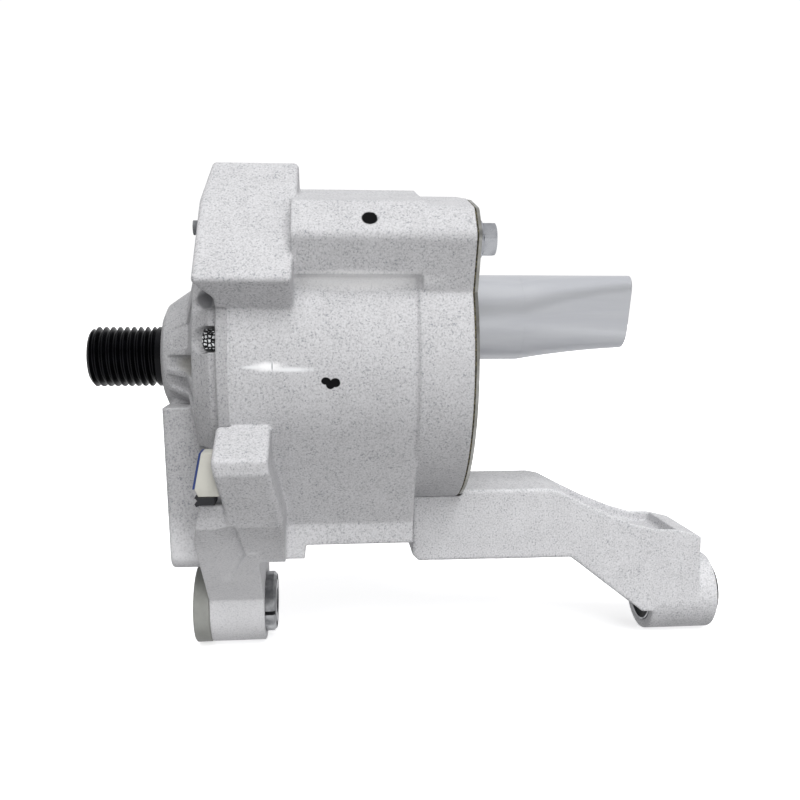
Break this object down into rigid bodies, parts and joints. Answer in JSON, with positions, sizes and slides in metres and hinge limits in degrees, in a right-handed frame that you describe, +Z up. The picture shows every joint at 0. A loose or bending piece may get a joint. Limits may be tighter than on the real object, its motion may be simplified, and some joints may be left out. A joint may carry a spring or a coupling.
{
  "type": "enclosed electric motor with a threaded shaft and a two eye mount",
  "caption": "Grey cast aluminium electric motor with a black threaded drive shaft, a screened signal connector, a rear tube and a cranked support arm to a rubber bushed mounting eye.",
  "frame": {"origin": "on the shaft axis, at the shoulder where the drive thread ends and the seal journal starts", "axes": "+X runs along the shaft axis from the drive end to the rear; +Y points away from the viewer of the picture; +Z points up, from the mounting eyes to the shaft"},
  "size_m": [0.2387, 0.1229, 0.1769],
  "materials": {
    "cast_aluminium": "blasted casting skin, matt, with fine dark specks",
    "drawn_aluminium": "drawn tube, soft satin bands along its length",
    "blackened_steel": "black oxide, oily satin",
    "zinc_steel": "blue zinc plated, forged head",
    "plated_steel": "zinc plated sheet",
    "pressed_steel": "rolled and phosphated sheet steel",
    "bearing_steel": "ground, bright",
    "polished_steel": "lapped balls and rolled sleeve, mirror bright",
    "lamination_steel": "stacked sheet, varnished",
    "black_rubber": "moulded, matt",
    "blue_rubber": "moulded silicone, satin",
    "gasket_paper": "pressed fibre sheet",
    "grey_plastic": "moulded, matt",
    "ivory_plastic": "moulded, satin",
    "black_plastic": "moulded, satin",
    "green_laminate": "solder masked board",
    "contact_brass": "stamped and tinned pins",
    "enamelled_copper": "enamelled wire, varnished",
    "magnet_nickel": "nickel plated magnet",
    "magnet_ferrite": "moulded magnet ring"
  },
  "bodies": {
    "housing": {"motor_housing": "cast_aluminium", "drive_end_cover": "cast_aluminium", "support_arm": "cast_aluminium", "shaft_seal": "black_rubber", "cover_o_ring": "black_rubber", "drive_cover_screws": "zinc_steel", "housing_plug_screw": "zinc_steel", "rear_gasket": "gasket_paper", "rear_plate": "plated_steel", "rear_plate_bolts": "zinc_steel", "rear_tube": "drawn_aluminium", "tube_plug": "black_rubber", "arm_bolts": "zinc_steel", "rear_pivot_shell": "pressed_steel", "rear_pivot_rubber": "black_rubber", "front_pivot_shell": "pressed_steel", "front_pivot_rubber": "black_rubber", "front_pivot_collar": "grey_plastic", "connector_housing": "ivory_plastic", "connector_seal": "blue_rubber", "connector_lock": "black_plastic", "connector_pins": "contact_brass", "connector_leads": "black_plastic", "bearing_circlip": "blackened_steel", "bearing_wave_washer": "bearing_steel", "front_bearing_outer_ring": "bearing_steel", "rear_bearing_outer_ring": "bearing_steel", "stator_core": "lamination_steel", "slot_insulators": "ivory_plastic", "stator_windings": "enamelled_copper", "wiring_ring": "black_plastic", "sensor_board": "green_laminate", "hall_sensors": "black_plastic", "phase_leads": "enamelled_copper", "control_board": "green_laminate", "control_board_screws": "zinc_steel", "board_capacitors": "black_plastic", "power_transistors": "black_plastic"},
    "rotor": {"motor_shaft": "blackened_steel", "shaft_circlip": "blackened_steel", "front_bearing_inner_ring": "bearing_steel", "rear_bearing_inner_ring": "bearing_steel", "rotor_core": "lamination_steel", "rotor_magnets": "magnet_nickel", "magnet_sleeve": "polished_steel", "rotor_end_plates": "drawn_aluminium", "rotor_key": "bearing_steel", "sensor_magnet_ring": "magnet_ferrite"},
    "front_ball_set": {"front_bearing_balls": "polished_steel", "front_bearing_cage": "pressed_steel"},
    "rear_ball_set": {"rear_bearing_balls": "polished_steel", "rear_bearing_cage": "pressed_steel"},
    "front_sleeve": {"front_pivot_sleeve": "pressed_steel"},
    "rear_sleeve": {"rear_pivot_sleeve": "pressed_steel"}
  },
  "joints": [
    {"name": "rotor_spin", "type": "hinge", "parent": "housing", "child": "rotor", "pos_m": [0, 0, 0], "axis": [1, 0, 0], "continuous": true},
    {"name": "front_bearing_roll", "type": "hinge", "parent": "housing", "child": "front_ball_set", "pos_m": [0.022, 0, 0], "axis": [1, 0, 0], "continuous": true},
    {"name": "rear_bearing_roll", "type": "hinge", "parent": "housing", "child": "rear_ball_set", "pos_m": [0.102, 0, 0], "axis": [1, 0, 0], "continuous": true},
    {"name": "front_pivot_twist", "type": "hinge", "parent": "housing", "child": "front_sleeve", "pos_m": [0.0263, 0, -0.0952], "axis": [1, 0, 0], "range_deg": [-12, 12], "stiffness_Nm_per_rad": 1.5},
    {"name": "rear_pivot_twist", "type": "hinge", "parent": "housing", "child": "rear_sleeve", "pos_m": [0.20125, 0, -0.0952], "axis": [1, 0, 0], "range_deg": [-12, 12], "stiffness_Nm_per_rad": 1.5}
  ],
  "couplings": [
    {"joint": "front_bearing_roll", "follows": "rotor_spin", "ratio": 0.4056},
    {"joint": "rear_bearing_roll", "follows": "rotor_spin", "ratio": 0.3842}
  ]
}
